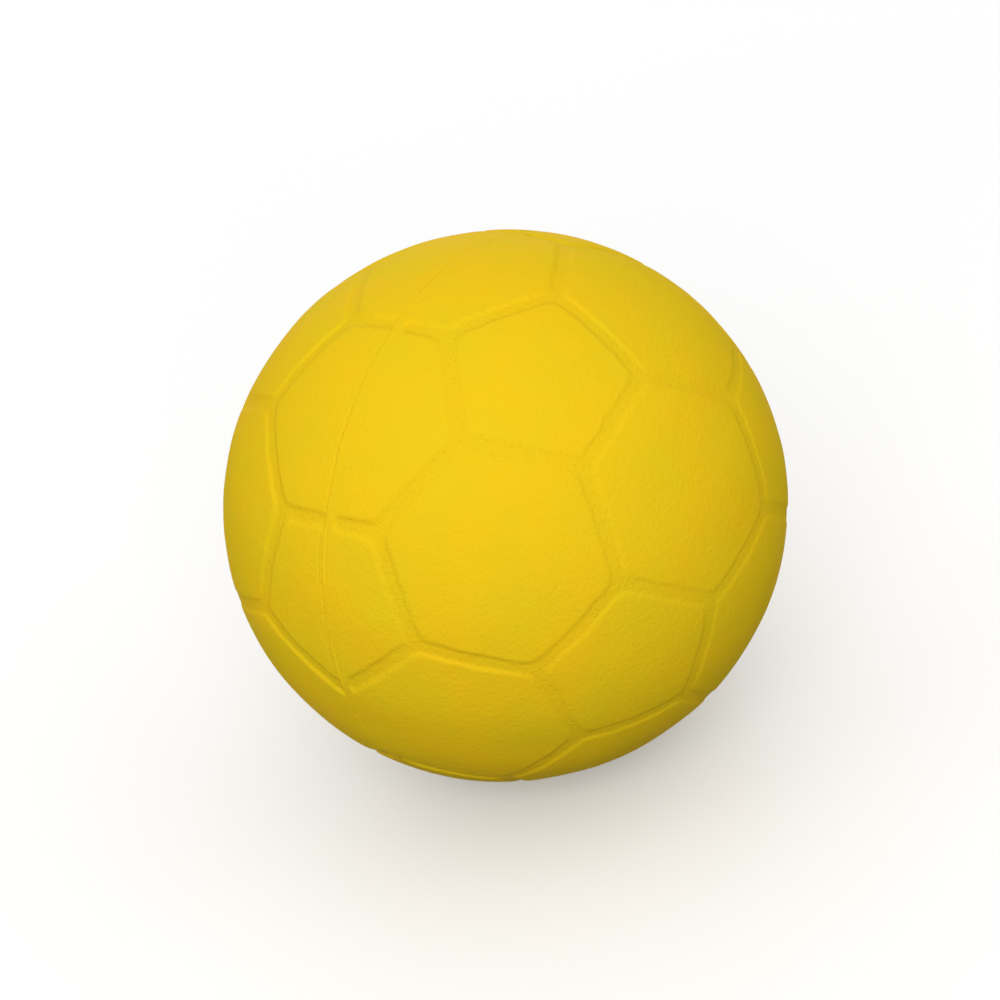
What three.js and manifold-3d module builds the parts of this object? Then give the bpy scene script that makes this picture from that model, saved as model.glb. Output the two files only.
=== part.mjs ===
// Stress ball: a soft moulded polyurethane-foam ball with football panelling.
//
// Millimetres, +Z up. The origin is on the surface that the ball stands on,
// below the centre of the ball. The two mould halves met at the plane X = 0,
// so the ball comes apart into a left skin half (-X), a right skin half (+X),
// the foam core that they enclose, and the thin seam left at the parting plane.

import * as THREE from 'three';
import { mergeVertices } from 'three/addons/utils/BufferGeometryUtils.js';
import Module from 'manifold-3d';

// Driving dimensions
const DIAMETER = 63;           // across the ball, measured level
const HEIGHT = 61;             // pole to pole: the soft ball is a little flattened
const FOOT_RADIUS = 4;         // the contact flat that the ball stands on
const SKIN_THICKNESS = 1.5;    // dense outer skin of the foam
const CORE_CLEARANCE = 0.3;    // between the skin and the foam core
const GROOVE_WIDTH = 2.3;      // between the shoulders of two neighbouring panels
const GROOVE_FLOOR_WIDTH = 0.9;
const DEPTH_AT_SEAM = 0.26;    // the grooves get shallower from the parting plane
const DEPTH_AT_POLE = 0.1;     // to the two poles of the mould, at the far left and right
const LAND_WIDTH = 1.2;        // flush strip beside the seam, on the right half
const SEAM_THICKNESS = 0.3;    // the parting seam, measured along X
const SEAM_CLEARANCE = 0.05;   // from the seam to the edge of each skin half
const SEAM_HEIGHT = 0.08;      // how far the seam stands proud of the skin

// Fineness of the mesh
const SIDE_STEPS = 4;                  // along each side of a panel
const PANEL_STEPS = [1 / 3, 2 / 3];    // rings between a panel's shoulder and its middle
const INSIDE_SEGMENTS = 40;            // round the cavity and the core
const MERGE_DISTANCE = 1e-5;           // corners closer than this are one corner

const RADIUS = DIAMETER / 2;
const FLATTENING = HEIGHT / DIAMETER;
const POLE_CURVATURE_RADIUS = RADIUS / FLATTENING;
const FOOT_SAG = POLE_CURVATURE_RADIUS - Math.sqrt(POLE_CURVATURE_RADIUS ** 2 - FOOT_RADIUS ** 2);
const CENTRE_Z = HEIGHT / 2 - FOOT_SAG;

// Neighbouring pentagons face 63 degrees apart, and all others 116 or more.
const NEIGHBOUR_COSINE = 0.4;

const SKIN_YELLOW = 0xf0ce24;
const FOAM_YELLOW = 0xf3dc7a;
const SEAM_YELLOW = 0xd8b51c;

const wasm = await Module();
wasm.setup();

// ---- The football pattern: a truncated icosahedron on the unit sphere ----

// Directions of the 12 pentagons. A hexagon faces straight up and one straight
// down, and X = 0 is a mirror plane, so the pentagons lie in four level rings
// of three: an icosahedron that stands on a face.
function pentagonCentres() {
  const golden = (1 + Math.sqrt(5)) / 2;
  const edge = 1 / Math.sin((2 * Math.PI) / 5);
  const ringRadii = [edge / Math.sqrt(3), (golden * edge) / Math.sqrt(3)];
  const centres = [];
  ringRadii.forEach((radius, ring) => {
    for (let third = 0; third < 3; third += 1) {
      const turn = Math.PI / 2 + ring * Math.PI / 3 + third * 2 * Math.PI / 3;
      const height = Math.sqrt(1 - radius ** 2);
      const centre = new THREE.Vector3(radius * Math.cos(turn), radius * Math.sin(turn), height);
      centres.push(centre, centre.clone().negate());
    }
  });
  return centres;
}

// Sorts directions anticlockwise round a middle direction, seen from outside.
function sortRound(middle, directions) {
  const right = directions[0].clone().cross(middle).normalize();
  const ahead = middle.clone().cross(right);
  const angle = (direction) => Math.atan2(direction.dot(ahead), direction.dot(right));
  return [...directions].sort((a, b) => angle(a) - angle(b));
}

// A panel is its middle and its corners. Each corner divides the chord from
// one pentagon's centre to the next at a third of its length.
function makePanels() {
  const centres = pentagonCentres();
  const areNeighbours = (a, b) => a !== b && a.dot(b) > NEIGHBOUR_COSINE;
  const corner = (near, far) => near.clone().multiplyScalar(2).add(far).normalize();
  const panel = (middle, corners) => ({ middle, corners: sortRound(middle, corners) });

  const pentagons = centres.map((middle) => {
    const neighbours = centres.filter((other) => areNeighbours(middle, other));
    return panel(middle, neighbours.map((other) => corner(middle, other)));
  });

  // A hexagon lies between each three pentagons that are all neighbours.
  const hexagons = [];
  centres.forEach((a, first) => {
    const besideA = centres.slice(first + 1).filter((other) => areNeighbours(a, other));
    besideA.forEach((b, second) => {
      const besideBoth = besideA.slice(second + 1).filter((other) => areNeighbours(b, other));
      besideBoth.forEach((c) => {
        const middle = a.clone().add(b).add(c).normalize();
        const pairs = [[a, b], [b, a], [b, c], [c, b], [c, a], [a, c]];
        hexagons.push(panel(middle, pairs.map(([near, far]) => corner(near, far))));
      });
    });
  });
  return [...pentagons, ...hexagons];
}

// The corners of a panel moved in from its sides by an angle.
function insetCorners({ middle, corners }, angle) {
  const sideNormals = corners.map((corner, i) => {
    const next = corners[(i + 1) % corners.length];
    return corner.clone().cross(next).normalize();
  });
  return corners.map((corner, i) => {
    const before = sideNormals[(i + corners.length - 1) % corners.length];
    const after = sideNormals[i];
    const inward = before.clone().add(after);
    inward.multiplyScalar(Math.sin(angle) / (1 + before.dot(after)));
    const outward = before.clone().cross(after).normalize();
    return inward.addScaledVector(outward, Math.sqrt(1 - inward.lengthSq()));
  });
}

// Points along the sides of a spherical polygon.
function walkRound(corners) {
  return corners.flatMap((corner, i) => {
    const next = corners[(i + 1) % corners.length];
    return Array.from({ length: SIDE_STEPS }, (_, step) => (
      corner.clone().lerp(next, step / SIDE_STEPS).normalize()));
  });
}

// How deep the grooves are round the ball, or none at all.
const grooved = (direction) => (
  THREE.MathUtils.lerp(DEPTH_AT_SEAM, DEPTH_AT_POLE, Math.abs(direction.x)));
const smooth = () => 0;

// No groove runs along the parting plane.
function isAlongSeam(panel, side) {
  const ends = [panel.corners[side], panel.corners[(side + 1) % panel.corners.length]];
  return ends.every((corner) => Math.abs(corner.x) < MERGE_DISTANCE);
}

// The rings of one panel from the middle of the groove inwards. Each point has
// its direction and its height over the skin's own surface.
function panelRings(panel, depthAt) {
  const raised = (points) => points.map((direction) => ({ direction, height: 0 }));
  const sunk = (points) => points.map((direction, i) => {
    const isCorner = i % SIDE_STEPS === 0;
    const isFlush = !isCorner && isAlongSeam(panel, Math.floor(i / SIDE_STEPS));
    return { direction, height: isFlush ? 0 : -depthAt(direction) };
  });

  const floor = walkRound(insetCorners(panel, GROOVE_FLOOR_WIDTH / 2 / RADIUS));
  const shoulder = walkRound(insetCorners(panel, GROOVE_WIDTH / 2 / RADIUS));
  const inner = PANEL_STEPS.map((share) => (
    shoulder.map((point) => point.clone().lerp(panel.middle, share).normalize())));
  return [sunk(walkRound(panel.corners)), sunk(floor), raised(shoulder), ...inner.map(raised)];
}

// The closed outer surface of the ball, moved out by an offset.
function ballGeometry(offset, depthAt) {
  const positions = [];
  const addPoint = ({ direction, height }) => {
    const stretch = RADIUS + height + offset;
    positions.push(direction.x * stretch, direction.y * stretch);
    positions.push(direction.z * stretch * FLATTENING + CENTRE_Z);
  };
  const addTriangle = (...points) => points.forEach(addPoint);

  makePanels().forEach((panel) => {
    const rings = panelRings(panel, depthAt);
    const count = rings[0].length;
    for (let i = 0; i < count; i += 1) {
      const j = (i + 1) % count;
      for (let ring = 0; ring + 1 < rings.length; ring += 1) {
        const outer = rings[ring];
        const inner = rings[ring + 1];
        addTriangle(outer[i], outer[j], inner[j]);
        addTriangle(outer[i], inner[j], inner[i]);
      }
      const last = rings[rings.length - 1];
      addTriangle(last[i], last[j], { direction: panel.middle, height: 0 });
    }
  });

  const geometry = new THREE.BufferGeometry();
  geometry.setAttribute('position', new THREE.Float32BufferAttribute(positions, 3));
  return geometry;
}

// A smooth flattened sphere at a depth under the skin's surface.
function insideGeometry(depth) {
  const geometry = new THREE.SphereGeometry(RADIUS - depth, INSIDE_SEGMENTS, INSIDE_SEGMENTS / 2);
  geometry.rotateX(Math.PI / 2);
  geometry.scale(1, 1, (HEIGHT / 2 - depth) / (RADIUS - depth));
  geometry.translate(0, 0, CENTRE_Z);
  return geometry;
}

// Everything over the floor between two X positions.
function slabGeometry(fromX, toX) {
  const geometry = new THREE.BoxGeometry(toX - fromX, 2 * DIAMETER, 2 * DIAMETER);
  geometry.translate((fromX + toX) / 2, 0, DIAMETER);
  return geometry;
}

// ---- Joining and cutting ----

function solid(geometry) {
  const bare = geometry.clone();
  bare.deleteAttribute('normal');
  bare.deleteAttribute('uv');
  const merged = mergeVertices(bare, MERGE_DISTANCE);
  return new wasm.Manifold(new wasm.Mesh({
    numProp: 3,
    vertProperties: merged.attributes.position.array,
    triVerts: new Uint32Array(merged.index.array),
  }));
}

function namedMesh(name, shape, color, roughness) {
  const { vertProperties, triVerts } = shape.getMesh();
  const geometry = new THREE.BufferGeometry();
  geometry.setAttribute('position', new THREE.BufferAttribute(vertProperties, 3));
  geometry.setIndex(new THREE.BufferAttribute(triVerts, 1));
  geometry.computeVertexNormals();
  const material = new THREE.MeshStandardMaterial({ color, roughness, metalness: 0, flatShading: true });
  const mesh = new THREE.Mesh(geometry, material);
  mesh.name = name;
  return mesh;
}

// ---- The four pieces ----

const cavity = solid(insideGeometry(SKIN_THICKNESS));
const skin = solid(ballGeometry(0, grooved)).subtract(cavity);
const smoothSkin = solid(ballGeometry(0, smooth)).subtract(cavity);
const seamBlank = solid(ballGeometry(SEAM_HEIGHT, grooved)).subtract(cavity);
const rimX = SEAM_THICKNESS / 2 + SEAM_CLEARANCE;

const leftHalf = skin.intersect(solid(slabGeometry(-DIAMETER, -rimX)));
const land = smoothSkin.intersect(solid(slabGeometry(rimX, LAND_WIDTH)));
const rightHalf = skin.intersect(solid(slabGeometry(rimX, DIAMETER))).add(land);
const seam = seamBlank.intersect(solid(slabGeometry(-SEAM_THICKNESS / 2, SEAM_THICKNESS / 2)));
const core = solid(insideGeometry(SKIN_THICKNESS + CORE_CLEARANCE));

const stressBall = new THREE.Group();
stressBall.add(
  namedMesh('foam_core', core, FOAM_YELLOW, 0.95),
  namedMesh('skin_half_left', leftHalf, SKIN_YELLOW, 0.55),
  namedMesh('skin_half_right', rightHalf, SKIN_YELLOW, 0.55),
  namedMesh('parting_seam', seam, SEAM_YELLOW, 0.6),
);

export default stressBall;
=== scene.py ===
import math

import bmesh
import bpy
import numpy as np
from mathutils import Matrix, Vector


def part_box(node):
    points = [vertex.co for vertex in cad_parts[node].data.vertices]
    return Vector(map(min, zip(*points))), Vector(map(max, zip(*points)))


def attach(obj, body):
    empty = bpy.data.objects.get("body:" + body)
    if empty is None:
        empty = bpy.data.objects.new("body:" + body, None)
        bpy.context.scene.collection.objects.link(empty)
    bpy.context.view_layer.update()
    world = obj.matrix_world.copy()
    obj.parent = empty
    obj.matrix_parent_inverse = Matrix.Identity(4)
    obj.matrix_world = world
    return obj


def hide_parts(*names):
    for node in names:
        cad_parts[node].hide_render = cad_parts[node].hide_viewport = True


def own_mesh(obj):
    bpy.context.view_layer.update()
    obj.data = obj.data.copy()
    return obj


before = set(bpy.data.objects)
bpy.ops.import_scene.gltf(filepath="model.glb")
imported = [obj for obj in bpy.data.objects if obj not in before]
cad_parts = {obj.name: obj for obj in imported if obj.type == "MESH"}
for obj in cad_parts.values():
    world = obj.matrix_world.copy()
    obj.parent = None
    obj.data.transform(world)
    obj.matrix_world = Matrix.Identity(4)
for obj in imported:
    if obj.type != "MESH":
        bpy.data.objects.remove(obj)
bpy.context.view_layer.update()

# A moulded polyurethane-foam stress ball with football panelling. Shapes are worked out in
# millimetres on a round ball centred on the origin, and put_in_place() carries them into the frame.

MM = 0.001
SKIN_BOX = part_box("skin_half_right")
RADIUS = (SKIN_BOX[1].y - SKIN_BOX[0].y) / 2 / MM
HEIGHT_SHARE = 61 / 63                # pole to pole, as a share of the width
CENTRE_Z = SKIN_BOX[1].z / MM - RADIUS * HEIGHT_SHARE

# Relief of the skin
DEPTH_AT_SEAM = 0.26                  # the grooves get shallower from the parting line
DEPTH_AT_POLE = 0.10                  # to the two poles
GROOVE_FLOOR_HALF = 0.43              # from the groove's middle to the foot of its wall
GROOVE_HALF = 1.15                    # from the groove's middle to the panel's shoulder
CORNER_ROUNDING = 0.3
LAND_WIDTH = 1.2                      # grooves of the right half stop this short of the seam
LAND_SOFTNESS = 0.3
SHADE_FLOOR_HALF = 0.3                # the groove's painted shade is full out to here
SHADE_MARGIN = 0.2                    # and fades out this far beyond the shoulder

# Inside
SKIN_THICKNESS = 1.5
CORE_CLEARANCE = 0.3                  # between the skin and the foam
CELL_DEPTH = 0.12                     # of the open cells in the foam's surface
CELL_SHARPNESS = 1.5                  # how steeply they rise to the walls between them

# The parting line at X = 0
RIM_X = 0.09                          # where each skin half ends
SEAM_HALF = 0.086                     # half the thickness of the flash between them
RIDGE_HEIGHT = 0.035                  # a low ridge, where flash was trimmed
RIDGE_HALF = 0.33                     # half widths go to where a shape has mostly faded
FURROW_DEPTH = 0.045                  # along both sides of a ridge
FURROW_OUT = 0.36                     # from the rim to the furrow
FURROW_HALF = 0.09
CREASE_FAINT = 0.012                  # the skin dips to the line by this much all round
CREASE_DEEP = 0.06                    # and by this much more along the creased stretches
CREASE_HALF = 0.08
CREASE_SHARE = 0.75                   # how much of that depth is there on average
STEP_UP = 0.02                        # beside the line the right half stands higher
STEP_UP_HALF = 0.4
STEP_DOWN = 0.016                     # and the left half lower
STEP_DOWN_HALF = 0.5
LIP_REACH = 3                         # nothing of all this is left this far from the line
WANDER_REACH = 1.2                    # how far out the skin follows the straying line
FLASH_RISE = 0.008                    # from the skin at the line to the flash's crest
FLECK_HEIGHT = 0.09                   # of the scattered flecks on the crest
FLECK_RARITY = 2.0                    # they stand where their noise is stronger than this
# Stretches of the line, in degrees round the ball from +Y over the top
RIDGED = ((20, 48), (154, 165), (177, 189), (245, 262), (300, 330))
CREASED = ((60, 75), (95, 99), (129, 154), (164, 176), (192, 202), (215, 240), (335, 360))
RIDGE_FADE = 1.5                      # degrees to each side of a stretch's ends
CREASE_FADE = 2

# Noise, as layers of (strength, wavelength in mm, seed)
GROOVE_WOBBLE = ((0.04, 3.2, 1), (0.02, 1.3, 2))           # mm sideways
DEPTH_VARIATION = ((0.12, 17, 3),)                         # share of a groove's depth
SURFACE_WAVES = ((0.03, 11, 4), (0.008, 4.5, 5))           # mm of height
STRETCH_SHIFT = ((0.8, 2.5, 6),)                           # degrees round the ball
CREASE_VARIATION = ((0.35, 3.5, 7), (0.25, 1.2, 8))        # share of a crease's depth
RIDGE_VARIATION = ((0.3, 1.4, 9),)                         # share of a ridge's height
FLASH_RAGGEDNESS = ((0.0072, 1.6, 11), (0.006, 0.7, 12))   # mm of height
FLECKS = ((1, 2.2, 13), (0.5, 0.6, 14))                    # of about unit strength
FOAM_CELLS = ((1, 2.4, 21), (0.6, 1.3, 22))                # the surface dips where these cross zero
LINE_WANDER = ((0.045, 7, 31), (0.025, 1.8, 32))           # mm sideways
WAVES = 16                                                 # plane waves in each layer

# Mesh fineness
SIDE_STEPS = 36                       # along each side of a panel
# Rings of each panel: mm from the groove's middle, then shares of the way to the panel's middle
GROOVE_RINGS = (0, 0.25, 0.43, 0.55, 0.67, 0.79, 0.91, 1.03, 1.15, 1.35, 1.7, 2.2, 2.9)
PANEL_SHARES = (0.15, 0.3, 0.45, 0.6, 0.75, 0.9)
BAND_X = 2.0                          # the finely meshed band beside the line ends here
BAND_GAP = 0.2                        # between the band and the panels' mesh
BAND_ROWS = 20
BAND_SEGMENTS = 1100
INSIDE_ROWS = 10
SEAM_SEGMENTS = 1800
WELD = 1e-4                           # points closer than this are one point
CUT_TOLERANCE = 1e-5
CUT_WELD = 2e-3                       # closes the slivers that the cut leaves


# ---- The pattern ----

# Neighbouring pentagons face 63 degrees apart, and all others 116 or more.
NEIGHBOUR_COSINE = 0.4


def unit(vectors):
    return vectors / np.linalg.norm(vectors, axis=-1, keepdims=True)


def pentagon_centres():
    """Directions of the 12 pentagons: an icosahedron that stands on a face, mirrored across X = 0."""
    golden = (1 + math.sqrt(5)) / 2
    edge = 1 / math.sin(2 * math.pi / 5)
    centres = []
    for ring, radius in enumerate((edge / math.sqrt(3), golden * edge / math.sqrt(3))):
        for third in range(3):
            turn = math.pi / 2 + ring * math.pi / 3 + third * 2 * math.pi / 3
            height = math.sqrt(1 - radius ** 2)
            centre = np.array([radius * math.cos(turn), radius * math.sin(turn), height])
            centres += [centre, -centre]
    return np.array(centres)


def sorted_round(middle, corners):
    """Corners in anticlockwise order round a panel's middle, seen from outside."""
    right = unit(np.cross(corners[0], middle))
    ahead = np.cross(middle, right)
    order = np.argsort(np.arctan2(corners @ ahead, corners @ right))
    return corners[order]


def make_panels():
    """(middle, corners) of the 12 pentagons and 20 hexagons, as unit vectors."""
    centres = pentagon_centres()
    near = centres @ centres.T > NEIGHBOUR_COSINE
    np.fill_diagonal(near, False)

    def corner(a, b):
        return unit(2 * centres[a] + centres[b])

    found = []
    for a in range(12):
        corners = np.array([corner(a, b) for b in np.flatnonzero(near[a])])
        found.append((centres[a], sorted_round(centres[a], corners)))
    for a in range(12):
        for b in range(a + 1, 12):
            for c in range(b + 1, 12):
                if near[a, b] and near[b, c] and near[c, a]:
                    middle = unit(centres[a] + centres[b] + centres[c])
                    pairs = ((a, b), (b, a), (b, c), (c, b), (c, a), (a, c))
                    corners = np.array([corner(p, q) for p, q in pairs])
                    found.append((middle, sorted_round(middle, corners)))
    return found


PANELS = make_panels()


# ---- Noise ----

def ripple(points, wavelength, seed):
    """Smooth noise of about unit strength: a sum of plane waves near one wavelength, in mm."""
    rng = np.random.default_rng(seed)
    waves = unit(rng.normal(size=(WAVES, 3)))
    waves *= 2 * math.pi / wavelength * rng.uniform(0.7, 1.3, (WAVES, 1))
    phases = rng.uniform(0, 2 * math.pi, WAVES)
    return np.cos(points @ waves.T + phases).sum(axis=1) / math.sqrt(WAVES / 2)


def noise(points, layers):
    return sum(strength * ripple(points, wavelength, seed) for strength, wavelength, seed in layers)


def smooth(low, high, value):
    """0 up to low and 1 from high on, with a soft rise between them."""
    share = np.clip((value - low) / (high - low), 0, 1)
    return share * share * (3 - 2 * share)


# ---- The skin's relief ----

ALONG_SEAM_COSINE = 0.99              # a groove this square to X runs along the parting line


def groove_distance(directions):
    """Distance in mm from the nearest groove's middle, with rounded panel corners."""
    # A panel is a face of the truncated icosahedron: the face that a direction meets first is
    # its panel, and the groove between two panels is where both are met together.
    planes = np.array([middle / (middle @ corners[0]) for middle, corners in PANELS])
    reach = directions @ planes.T
    own = reach.argmax(axis=1)
    apart = planes[:, None] - planes[None]
    length = np.linalg.norm(apart, axis=2)
    np.fill_diagonal(length, 1)
    sine = (reach.max(axis=1, keepdims=True) - reach) / length[own]
    distance = RADIUS * np.arcsin(np.clip(sine, 0, 1))

    # Added distance takes a groove away. None runs along the parting line, and on the right half
    # the others stop short of it.
    along_seam = np.abs(apart[..., 0]) / length > ALONG_SEAM_COSINE
    x = directions[:, 0] * RADIUS
    land = 1 - smooth(LAND_WIDTH - LAND_SOFTNESS, LAND_WIDTH + LAND_SOFTNESS, x)
    land *= x > 0
    distance += GROOVE_HALF * np.where(along_seam[own], 2, land[:, None])
    distance[np.arange(len(own)), own] = np.inf
    return -CORNER_ROUNDING * np.log(np.exp(-distance / CORNER_ROUNDING).sum(axis=1))


def relief(directions):
    """Height in mm of the skin over the round ball."""
    points = directions * RADIUS
    distance = groove_distance(directions)
    distance += noise(points, GROOVE_WOBBLE)
    to_pole = np.abs(directions[:, 0])
    depth = DEPTH_AT_SEAM + (DEPTH_AT_POLE - DEPTH_AT_SEAM) * to_pole
    depth *= 1 + noise(points, DEPTH_VARIATION)
    height = -depth * (1 - smooth(GROOVE_FLOOR_HALF, GROOVE_HALF, distance))
    return height + noise(points, SURFACE_WAVES) + lip(points)


def within(turns, stretches, fade):
    """1 inside the stretches and 0 outside, in degrees, with soft ends."""
    return sum(smooth(start - fade, start + fade, turns)
               * (1 - smooth(end - fade, end + fade, turns)) for start, end in stretches)


def lip(points):
    """The skin beside the parting line: a faint crease, or a low ridge where flash was trimmed."""
    x = points[:, 0]
    out = np.clip(np.abs(x) - RIM_X, 0, None)
    ring = points * (0, 1, 1)
    turns = np.degrees(np.arctan2(points[:, 2], points[:, 1])) % 360
    turns = turns + noise(ring, STRETCH_SHIFT)
    ridged = within(turns, RIDGED, RIDGE_FADE)
    uneven = 1 + noise(ring, RIDGE_VARIATION)
    height = RIDGE_HEIGHT * ridged * uneven * np.exp(-(x / RIDGE_HALF) ** 4)
    height -= FURROW_DEPTH * ridged * np.exp(-((out - FURROW_OUT) / FURROW_HALF) ** 2)
    creased = within(turns, CREASED, CREASE_FADE) * (CREASE_SHARE + noise(ring, CREASE_VARIATION))
    height -= (CREASE_FAINT + CREASE_DEEP * creased) * np.exp(-out / CREASE_HALF)
    height += np.where(x > 0, STEP_UP * np.exp(-(out / STEP_UP_HALF) ** 2),
                       -STEP_DOWN * np.exp(-out / STEP_DOWN_HALF))
    return height * (np.abs(x) < LIP_REACH)


def groove_shade(directions):
    """1 on a groove's floor, falling to 0 at the panels: where the grooves get painted shade and more
    pinholes.
    """
    return 1 - smooth(SHADE_FLOOR_HALF, GROOVE_HALF + SHADE_MARGIN, groove_distance(directions))


def wander(points):
    """How far in mm the parting line strays sideways, which every piece beside it follows."""
    # The tiny shift gives the two poles a place on the ring, so that nothing divides by zero.
    ring = unit(points * (0, 1, 1) + (0, 1e-9, 0)) * RADIUS
    return noise(ring, LINE_WANDER) * np.exp(-(points[:, 0] / WANDER_REACH) ** 2)


def put_in_place(points):
    """Points of the round ball in mm, as metres in the frame: flattened, and flat underneath."""
    placed = points * (1, 1, HEIGHT_SHARE)
    placed[:, 0] += wander(points)
    placed[:, 2] = np.maximum(placed[:, 2] + CENTRE_Z, 0)
    return placed * MM


# ---- Meshes ----

def inset(corners, angle):
    """A spherical polygon's corners, moved in from its sides by an angle."""
    after = unit(np.cross(corners, np.roll(corners, -1, axis=0)))
    before = np.roll(after, 1, axis=0)
    between = (before * after).sum(axis=1, keepdims=True)
    inward = (before + after) * math.sin(angle) / (1 + between)
    outward = unit(np.cross(before, after))
    return inward + outward * np.sqrt(1 - (inward ** 2).sum(axis=1, keepdims=True))


def walk_round(corners):
    """Directions along the sides of a spherical polygon."""
    shares = np.arange(SIDE_STEPS)[None, :, None] / SIDE_STEPS
    steps = corners[:, None] * (1 - shares) + np.roll(corners, -1, axis=0)[:, None] * shares
    return unit(steps.reshape(-1, 3))


def ring_faces(rows, count, start=0):
    """Quads between rows of count points each, closed round."""
    i = np.arange(count)
    j = (i + 1) % count
    found = []
    for row in range(rows - 1):
        low = start + row * count
        high = low + count
        found += np.stack([low + i, low + j, high + j, high + i], axis=1).tolist()
    return found


def panel_mesh(middle, corners):
    """Directions and faces of one panel, in rings from the middle of its grooves inwards."""
    rings = [walk_round(inset(corners, distance / RADIUS)) for distance in GROOVE_RINGS]
    shoulder = rings[-1]
    rings += [unit(shoulder * (1 - share) + middle * share) for share in PANEL_SHARES]
    count = len(shoulder)
    points = np.vstack([*rings, middle])
    faces = ring_faces(len(rings), count)
    last = (len(rings) - 1) * count
    i = np.arange(count)
    middles = np.full(count, len(points) - 1)
    faces += np.stack([last + i, last + (i + 1) % count, middles], axis=1).tolist()
    return points, faces


def sphere_beyond_band(side):
    """Directions, faces and cut edge of the panelled sphere on one side, outside the band."""
    points, faces, total = [], [], 0
    for middle, corners in PANELS:
        if (corners[:, 0] * side).max() <= 0:
            continue
        panel_points, panel_faces = panel_mesh(middle, corners)
        points.append(panel_points)
        faces += [[i + total for i in face] for face in panel_faces]
        total += len(panel_points)
    mesh = bpy.data.meshes.new("panels")
    mesh.from_pydata(np.vstack(points) * RADIUS, [], faces)
    work = bmesh.new()
    work.from_mesh(mesh)
    bpy.data.meshes.remove(mesh)
    bmesh.ops.remove_doubles(work, verts=work.verts, dist=WELD)
    everything = [*work.verts, *work.edges, *work.faces]
    bmesh.ops.bisect_plane(work, geom=everything, dist=CUT_TOLERANCE, clear_inner=True,
                           plane_co=(side * (BAND_X + BAND_GAP), 0, 0), plane_no=(side, 0, 0))
    bmesh.ops.remove_doubles(work, verts=work.verts, dist=CUT_WELD)
    work.verts.index_update()
    found = np.array([v.co for v in work.verts])
    found_faces = [[v.index for v in face.verts] for face in work.faces]
    edge = sorted({v.index for e in work.edges if e.is_boundary for v in e.verts})
    work.free()
    return unit(found), found_faces, edge


def ring_round_x(x, across, count):
    """Points in mm of a circle round the X axis, with a radius of across."""
    turns = np.arange(count) * 2 * math.pi / count - math.pi
    return np.stack([np.full(count, x), across * np.cos(turns), across * np.sin(turns)], axis=1)


def around_x(x, count):
    """Directions of count points round the X axis, at a distance x in mm from the seam."""
    return unit(ring_round_x(x, math.sqrt(RADIUS ** 2 - x ** 2), count))


def zip_loops(points, loop_a, loop_b):
    """Triangles between two loops round the X axis that have different numbers of points."""
    def by_turn(loop):
        turns = np.arctan2(points[loop, 2], points[loop, 1])
        order = np.argsort(turns)
        return [loop[k] for k in order], turns[order]

    (a, turn_a), (b, turn_b) = by_turn(loop_a), by_turn(loop_b)
    turn_a = np.append(turn_a, turn_a[0] + 2 * math.pi)
    turn_b = np.append(turn_b, turn_b[0] + 2 * math.pi)
    i = j = 0
    faces = []
    while i < len(a) or j < len(b):
        here_a, here_b = a[i % len(a)], b[j % len(b)]
        if j == len(b) or (i < len(a) and turn_a[i + 1] <= turn_b[j + 1]):
            i += 1
            faces.append([here_a, here_b, a[i % len(a)]])
        else:
            j += 1
            faces.append([here_a, here_b, b[j % len(b)]])
    return faces


def make_object(name, points, faces, groove=None):
    """A closed mesh object with smooth shading and outward faces. groove is a value at each point."""
    mesh = bpy.data.meshes.new(name)
    mesh.from_pydata(points, [], faces)
    if groove is not None:
        shade = mesh.attributes.new("groove", "FLOAT", "POINT")
        shade.data.foreach_set("value", groove.astype(np.float32))
    work = bmesh.new()
    work.from_mesh(mesh)
    bmesh.ops.recalc_face_normals(work, faces=work.faces)
    work.to_mesh(mesh)
    work.free()
    mesh.polygons.foreach_set("use_smooth", np.ones(len(mesh.polygons), bool))
    made = bpy.data.objects.new(name, mesh)
    bpy.context.scene.collection.objects.link(made)
    return made


def bowl(side):
    """The smooth inside of a skin half: rings of points from its rim to the pole, and the pole."""
    radius = RADIUS - SKIN_THICKNESS
    tilts = np.linspace(math.asin(RIM_X / radius), math.pi / 2, INSIDE_ROWS + 1)[:-1]
    rings = [ring_round_x(radius * math.sin(tilt) * side, radius * math.cos(tilt), BAND_SEGMENTS)
             for tilt in tilts]
    return np.vstack([*rings, [radius * side, 0, 0]])


def skin_half(name, side):
    """A skin half: its panelled outside, the fine band beside the seam, its rim and its inside."""
    outside, faces, edge = sphere_beyond_band(side)
    band_x = np.geomspace(BAND_X, RIM_X, BAND_ROWS) * side
    band = np.vstack([around_x(x, BAND_SEGMENTS) for x in band_x])
    first = len(outside)
    outside = np.vstack([outside, band])
    faces += zip_loops(outside, edge, list(range(first, first + BAND_SEGMENTS)))
    faces += ring_faces(BAND_ROWS, BAND_SEGMENTS, first)
    placed = outside * (RADIUS + relief(outside))[:, None]
    # The relief moves the rim a little along X, so it is put back at its own distance.
    placed[-BAND_SEGMENTS:, 0] = RIM_X * side

    placed = np.vstack([placed, bowl(side)])
    rim = len(outside) - BAND_SEGMENTS
    faces += ring_faces(INSIDE_ROWS + 1, BAND_SEGMENTS, rim)
    pole = len(placed) - 1
    last = pole - BAND_SEGMENTS
    faces += [[last + i, last + (i + 1) % BAND_SEGMENTS, pole] for i in range(BAND_SEGMENTS)]
    groove = np.zeros(len(placed))
    groove[:len(outside)] = groove_shade(outside)
    return make_object(name, put_in_place(placed), faces, groove)


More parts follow.
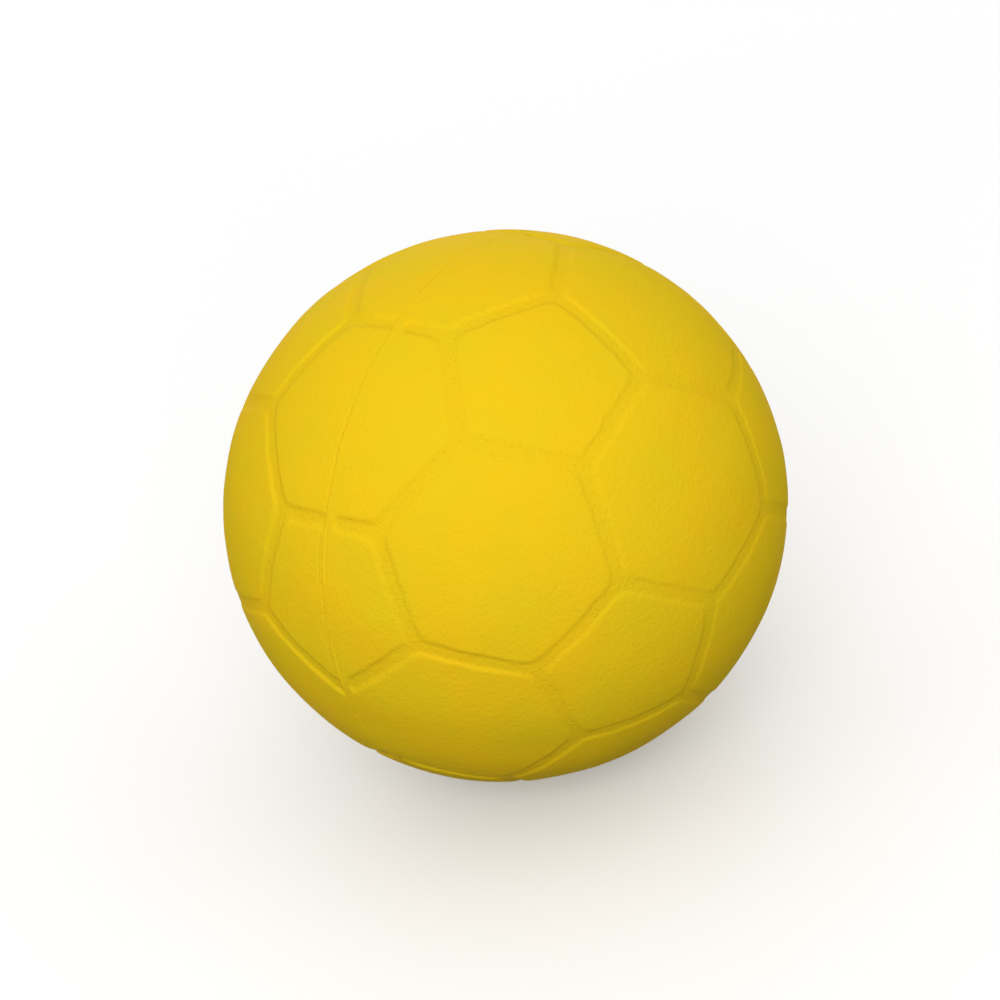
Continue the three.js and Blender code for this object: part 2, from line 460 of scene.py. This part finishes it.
def parting_seam(name):
    """The thin irregular flash between the two halves. It follows the grooves that it crosses."""
    base = around_x(0, SEAM_SEGMENTS)
    points = base * RADIUS
    floor = np.minimum(relief(around_x(RIM_X, SEAM_SEGMENTS)),
                       relief(around_x(-RIM_X, SEAM_SEGMENTS)))
    crest = floor + FLASH_RISE + noise(points, FLASH_RAGGEDNESS)
    crest += FLECK_HEIGHT * np.clip(noise(points, FLECKS) - FLECK_RARITY, 0, 1)
    inner = -SKIN_THICKNESS
    # (X as a share of the half width, height) of the section, from the inside out and back
    section = ((-1, inner), (-1, floor - 0.02), (-0.7, crest - 0.008), (0, crest),
               (0.7, crest - 0.006), (1, floor - 0.015), (1, inner), (0, inner))
    rows = []
    for share, height in section:
        row = base * (RADIUS + height * np.ones(SEAM_SEGMENTS))[:, None]
        row[:, 0] = share * SEAM_HALF
        rows.append(row)
    faces = ring_faces(len(section) + 1, SEAM_SEGMENTS)
    total = len(section) * SEAM_SEGMENTS
    faces = [[i % total for i in face] for face in faces]
    return make_object(name, put_in_place(np.vstack(rows)), faces)


def foam_core(name):
    """The foam inside: a flattened ball with a shallow cellular surface."""
    work = bmesh.new()
    bmesh.ops.create_icosphere(work, subdivisions=6, radius=1)
    work.verts.index_update()
    directions = unit(np.array([v.co for v in work.verts]))
    faces = [[v.index for v in face.verts] for face in work.faces]
    work.free()
    radius = RADIUS - SKIN_THICKNESS - CORE_CLEARANCE
    from_dip = sum(np.abs(noise(directions * radius, [layer])) for layer in FOAM_CELLS)
    points = directions * (radius - CELL_DEPTH * np.exp(-from_dip * CELL_SHARPNESS))[:, None]
    return make_object(name, put_in_place(points), faces)


# ---- Materials ----

PINHOLE_SPACING = 0.42                # mm between the places where a pinhole may be
# Shares of those places that are pinholes
PINHOLES_SCATTERED = 0.06             # at most, on the panels
PINHOLES_AT_SEAM = 0.3
PINHOLES_IN_GROOVE = 0.7
# Shares of the painted shade colour that pinholes and grooves take on: painted shade in these hollows
PINHOLE_SHADE = 0.14
GROOVE_SHADE = 0.06
# Heights of the bump in mm
GRAIN_BUMP = 0.075
PEEL_BUMP = 0.03
PINHOLE_BUMP = 0.03
FOAM_BUMP = 0.05


def new_material(name):
    """A material, its node tree and shader, and the object's own coordinates."""
    made = bpy.data.materials.new(name)
    made.use_nodes = True
    tree = made.node_tree
    place = tree.nodes.new("ShaderNodeTexCoord").outputs["Object"]
    return made, tree, tree.nodes["Principled BSDF"], place


def noise_node(tree, place, size_mm, roughness=0.5):
    node = tree.nodes.new("ShaderNodeTexNoise")
    node.inputs["Scale"].default_value = 1 / (size_mm * MM)
    node.inputs["Detail"].default_value = 2
    node.inputs["Roughness"].default_value = roughness
    tree.links.new(place, node.inputs["Vector"])
    return node.outputs["Fac"]


def cells_node(tree, place, size_mm):
    """Random round cells: the distance from the nearest middle, and a random colour for each."""
    node = tree.nodes.new("ShaderNodeTexVoronoi")
    node.inputs["Scale"].default_value = 1 / (size_mm * MM)
    tree.links.new(place, node.inputs["Vector"])
    return node.outputs["Distance"], node.outputs["Color"]


def math_node(tree, operation, *values):
    """A Math node. Each value is a number or another node's output."""
    node = tree.nodes.new("ShaderNodeMath")
    node.operation = operation
    for socket, value in zip(node.inputs, values):
        if isinstance(value, (int, float)):
            socket.default_value = value
        else:
            tree.links.new(value, socket)
    return node.outputs[0]


def spread(tree, value, from_low, from_high, to_low, to_high):
    """A value carried from one range to another, and held at its ends."""
    node = tree.nodes.new("ShaderNodeMapRange")
    node.inputs["From Min"].default_value = from_low
    node.inputs["From Max"].default_value = from_high
    node.inputs["To Min"].default_value = to_low
    node.inputs["To Max"].default_value = to_high
    tree.links.new(value, node.inputs["Value"])
    return node.outputs["Result"]


def mix_colour(tree, share, a, b):
    """From a at 0 to b at 1. Each colour is a tuple or another node's output."""
    node = tree.nodes.new("ShaderNodeMix")
    node.data_type = "RGBA"
    for key, value in (("A", a), ("B", b)):
        socket = next(s for s in node.inputs if s.name == key and s.type == "RGBA")
        if isinstance(value, tuple):
            socket.default_value = (*value, 1)
        else:
            tree.links.new(value, socket)
    tree.links.new(share, node.inputs["Factor"])
    return next(s for s in node.outputs if s.type == "RGBA")


def add_bump(tree, shader, height, distance_mm):
    node = tree.nodes.new("ShaderNodeBump")
    node.inputs["Strength"].default_value = 1
    node.inputs["Distance"].default_value = distance_mm * MM
    tree.links.new(height, node.inputs["Height"])
    tree.links.new(node.outputs["Normal"], shader.inputs["Normal"])


def pinholes(tree, place, groove):
    """Small round pits in some of the cells, more in the grooves and beside the parting line."""
    distance, colour = cells_node(tree, place, PINHOLE_SPACING)
    pit = spread(tree, distance, 0.1, 0.38, 1, 0)
    chance = tree.nodes.new("ShaderNodeSeparateColor")
    tree.links.new(colour, chance.inputs["Color"])
    axes = tree.nodes.new("ShaderNodeSeparateXYZ")
    tree.links.new(place, axes.inputs["Vector"])
    from_seam = math_node(tree, "ABSOLUTE", axes.outputs["X"])
    beside_seam = spread(tree, from_seam, 0.3 * MM, 2.2 * MM, PINHOLES_AT_SEAM, 0)
    in_groove = math_node(tree, "MULTIPLY", groove, PINHOLES_IN_GROOVE)
    scattered = spread(tree, noise_node(tree, place, 5), 0.4, 0.7, 0, PINHOLES_SCATTERED)
    share = math_node(tree, "ADD", scattered, math_node(tree, "MAXIMUM", beside_seam, in_groove))
    picked = math_node(tree, "LESS_THAN", chance.outputs["Red"], share)
    return math_node(tree, "MULTIPLY", pit, picked)


def moulded_skin(name, warm, green, shade_colour):
    """Moulded polyurethane skin: matt, with mottled colour, fine leathery grain and pinholes, and
    painted shade in its pinholes and grooves.
    """
    made, tree, shader, place = new_material(name)
    attribute = tree.nodes.new("ShaderNodeAttribute")
    attribute.attribute_name = "groove"
    groove = attribute.outputs["Fac"]
    hole = pinholes(tree, place, groove)
    mottle = noise_node(tree, place, 8, 0.6)
    grain = noise_node(tree, place, 0.5, 0.6)
    peel = noise_node(tree, place, 1.6)

    colour = mix_colour(tree, spread(tree, mottle, 0.35, 0.65, 0, 1), warm, green)
    # Painted shade: pinholes and groove floors are darkened towards the shade colour
    painted_shade = math_node(tree, "ADD", math_node(tree, "MULTIPLY", hole, PINHOLE_SHADE),
                       math_node(tree, "MULTIPLY", groove, GROOVE_SHADE))
    colour = mix_colour(tree, painted_shade, colour, shade_colour)
    tree.links.new(colour, shader.inputs["Base Color"])

    rough = math_node(tree, "ADD", spread(tree, mottle, 0.3, 0.7, 0.52, 0.62),
                      spread(tree, grain, 0.3, 0.7, -0.05, 0.05))
    tree.links.new(rough, shader.inputs["Roughness"])
    shader.inputs["Specular IOR Level"].default_value = 0.006

    height = math_node(tree, "MULTIPLY", grain, GRAIN_BUMP)
    height = math_node(tree, "ADD", height, math_node(tree, "MULTIPLY", peel, PEEL_BUMP))
    height = math_node(tree, "SUBTRACT", height, math_node(tree, "MULTIPLY", hole, PINHOLE_BUMP))
    add_bump(tree, shader, height, 1)
    return made


def cellular_foam(name, light, dark):
    """Cut polyurethane foam: matt, with small rounded cells and painted shade in their hollows."""
    made, tree, shader, place = new_material(name)
    distance, _ = cells_node(tree, place, 0.6)
    wall = spread(tree, distance, 0.1, 0.6, 0, 1)
    # Painted shade: each cell's hollow middle is darker than its walls
    tree.links.new(mix_colour(tree, wall, dark, light), shader.inputs["Base Color"])
    tree.links.new(spread(tree, wall, 0, 1, 0.95, 0.85), shader.inputs["Roughness"])
    shader.inputs["Specular IOR Level"].default_value = 0.2
    add_bump(tree, shader, wall, FOAM_BUMP)
    return made


def plain_floor(name):
    made, _, shader, _ = new_material(name)
    shader.inputs["Base Color"].default_value = (0.9, 0.9, 0.9, 1)
    shader.inputs["Emission Color"].default_value = (1, 1, 1, 1)
    shader.inputs["Emission Strength"].default_value = 0.2
    shader.inputs["Roughness"].default_value = 0.9
    shader.inputs["Specular IOR Level"].default_value = 0.1
    return made


# ---- The pieces ----

# A darker orange, painted into the pinholes and grooves as their shade
PAINTED_SHADE_COLOUR = (0.66, 0.41, 0.006)
CENTRE = (0, 0, CENTRE_Z * MM)


def fit_in(piece, material, node, body):
    """Gives a piece its finish, the node it stands for and its body."""
    piece.data.materials.append(material)
    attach(piece, body)
    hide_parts(node)
    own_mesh(piece)


yellow_skin = moulded_skin("yellow_skin", (0.915, 0.588, 0.011), (0.855, 0.603, 0.012), PAINTED_SHADE_COLOUR)
yellow_flash = moulded_skin("yellow_flash", (0.90, 0.58, 0.011), (0.84, 0.59, 0.012), PAINTED_SHADE_COLOUR)
pale_foam = cellular_foam("pale_foam", (0.88, 0.70, 0.20), (0.70, 0.50, 0.10))

for hand, side in (("left", -1), ("right", 1)):
    half = skin_half(f"skin_{hand}", side)
    fit_in(half, yellow_skin, f"skin_half_{hand}", f"{hand}_side")

seam = parting_seam("seam_flash")
fit_in(seam, yellow_flash, "parting_seam", "core")

core = foam_core("foam_filling")
fit_in(core, pale_foam, "foam_core", "core")


# ---- Floor, light and camera ----

def camera_axes(azimuth, elevation, roll):
    """Right, up and backward directions of a camera that looks at the ball."""
    a, e, r = (math.radians(x) for x in (azimuth, elevation, roll))
    back = Vector((math.sin(a) * math.cos(e), -math.cos(a) * math.cos(e), math.sin(e)))
    level = Vector((math.cos(a), math.sin(a), 0))
    upright = back.cross(level)
    right = level * math.cos(r) + upright * math.sin(r)
    return right, back.cross(right), back


AZIMUTH, ELEVATION, ROLL = 41.5, 29.0, -11.5
DISTANCE = 0.298                      # metres from the ball's middle
LENS = 95.8                           # mm
RIGHT, UP, BACK = camera_axes(AZIMUTH, ELEVATION, ROLL)
# The ball sits slightly to the right of the picture's middle and below it.
TARGET = Vector(CENTRE) - RIGHT * 0.6 * MM + UP * 0.55 * MM

camera = bpy.data.objects.new("camera", bpy.data.cameras.new("camera"))
camera.data.lens = LENS
camera.data.clip_start = 0.01
turned = Matrix((RIGHT, UP, BACK)).transposed().to_4x4()
camera.matrix_world = Matrix.Translation(TARGET + BACK * DISTANCE) @ turned
bpy.context.scene.collection.objects.link(camera)
bpy.context.scene.camera = camera

LAMP_DISTANCE = 0.9
# A key light a little below and to the left of the camera, and a weak fill from behind
KEY_DIRECTION = BACK - RIGHT * 0.09 - UP * 0.08
FILL_DIRECTION = camera_axes(AZIMUTH + 180, 8, 0)[2]


def soft_light(name, direction, size, watts):
    """A square softbox that faces the ball from a direction, and isn't seen itself."""
    lamp = bpy.data.lights.new(name, "AREA")
    lamp.shape = "SQUARE"
    lamp.size = size
    lamp.energy = watts
    made = bpy.data.objects.new(name, lamp)
    direction = direction.normalized()
    made.location = Vector(CENTRE) + direction * LAMP_DISTANCE
    made.rotation_euler = direction.to_track_quat("Z", "Y").to_euler()
    made.visible_camera = False
    bpy.context.scene.collection.objects.link(made)


def studio_world(name, above, below):
    """A white sky that gets darker just below the horizon."""
    made = bpy.data.worlds.new(name)
    made.use_nodes = True
    tree = made.node_tree
    background = tree.nodes["Background"]
    axes = tree.nodes.new("ShaderNodeSeparateXYZ")
    place = tree.nodes.new("ShaderNodeTexCoord").outputs["Generated"]
    tree.links.new(place, axes.inputs["Vector"])
    strength = spread(tree, axes.outputs["Z"], -0.12, -0.02, below, above)
    tree.links.new(strength, background.inputs["Strength"])
    background.inputs["Color"].default_value = (1, 1, 1, 1)
    return made


def make_floor(name, size):
    """A square floor, size metres wide. It takes shadows and throws no light up at the ball."""
    half = size / 2
    corners = [(-half, -half, 0), (half, -half, 0), (half, half, 0), (-half, half, 0)]
    mesh = bpy.data.meshes.new(name)
    mesh.from_pydata(corners, [], [(0, 1, 2, 3)])
    mesh.materials.append(plain_floor("pale_floor"))
    made = bpy.data.objects.new(name, mesh)
    made.visible_diffuse = False
    bpy.context.scene.collection.objects.link(made)
    return made


soft_light("key", KEY_DIRECTION, size=0.7, watts=4.05)
soft_light("back_fill", FILL_DIRECTION, size=0.6, watts=2.0)
bpy.context.scene.world = studio_world("studio", above=0.7, below=0.07)
bpy.context.scene.view_settings.view_transform = "Standard"
make_floor("floor", size=6)
